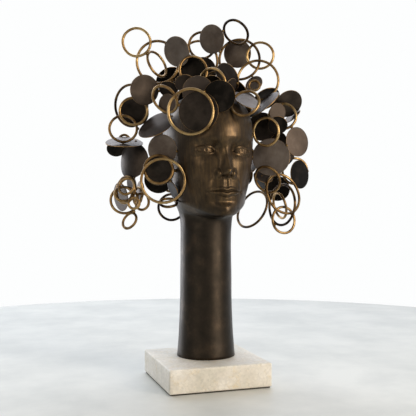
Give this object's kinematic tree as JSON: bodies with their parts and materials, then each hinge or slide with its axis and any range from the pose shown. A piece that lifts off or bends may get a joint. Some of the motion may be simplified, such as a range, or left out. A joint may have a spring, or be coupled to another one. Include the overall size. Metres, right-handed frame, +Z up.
{
  "type": "decorative head sculpture",
  "caption": "Cast metal head on a long round neck with hair of welded wire rings and sheet discs, fixed to a square marble block.",
  "frame": {"origin": "middle of the pad's underside, where the sculpture stands", "axes": "+Z up, -Y the way the face looks, +X to the right seen from the front"},
  "size_m": [0.3168, 0.2141, 0.5427],
  "materials": {
    "marble": "honed cream marble",
    "pad": "matt",
    "casting": "dark bronze patina, rubbed warm on the high places",
    "ring_wire": "antique brass, satin",
    "disc_sheet": "brown bronze patina, satin",
    "steel": "zinc plated"
  },
  "bodies": {
    "root": {"marble_base": "marble", "base_pad": "pad", "head_casting": "casting", "anchor_plate": "steel", "fixing_washer": "steel", "fixing_nut": "steel", "fixing_stud": "steel", "disc_brow_left": "disc_sheet", "disc_crown_front": "disc_sheet", "disc_temple_left": "disc_sheet", "disc_cheek_left": "disc_sheet", "disc_jaw_left": "disc_sheet", "disc_crown_left": "disc_sheet", "disc_ear_right": "disc_sheet", "disc_nape_left": "disc_sheet", "disc_nape_right": "disc_sheet", "disc_back_top": "disc_sheet", "disc_back_middle": "disc_sheet", "disc_right_blade": "disc_sheet", "ring_brow_left": "ring_wire", "ring_forehead": "ring_wire", "ring_brow_right": "ring_wire", "ring_temple_right": "ring_wire", "ring_jaw_left_small": "ring_wire", "ring_jaw_left_large": "ring_wire", "ring_jaw_right": "ring_wire", "ring_back_left": "ring_wire", "ring_back_right": "ring_wire", "disc_left_back": "disc_sheet", "disc_left_top": "disc_sheet", "disc_left_petal": "disc_sheet", "disc_left_plate": "disc_sheet", "disc_top_left": "disc_sheet", "disc_top_middle": "disc_sheet", "disc_top_right": "disc_sheet", "disc_right_upper": "disc_sheet", "disc_right_middle": "disc_sheet", "disc_right_lower": "disc_sheet", "ring_left_inner": "ring_wire", "ring_left_large": "ring_wire", "ring_left_outer": "ring_wire", "ring_crown_large": "ring_wire", "ring_crown_left": "ring_wire", "ring_crown_tilted": "ring_wire", "ring_top_left": "ring_wire", "ring_top_middle": "ring_wire", "ring_right_large": "ring_wire", "ring_top_right": "ring_wire", "ring_top_peak": "ring_wire", "ring_top_outer": "ring_wire", "ring_right_upper": "ring_wire", "ring_right_middle": "ring_wire", "ring_right_tilted": "ring_wire", "ring_right_upright": "ring_wire", "ring_right_bottom": "ring_wire", "ring_nape_right": "ring_wire", "ring_left_link": "ring_wire", "ring_left_bottom": "ring_wire", "ring_back_outer": "ring_wire", "ring_back_low": "ring_wire"}
  },
  "joints": []
}
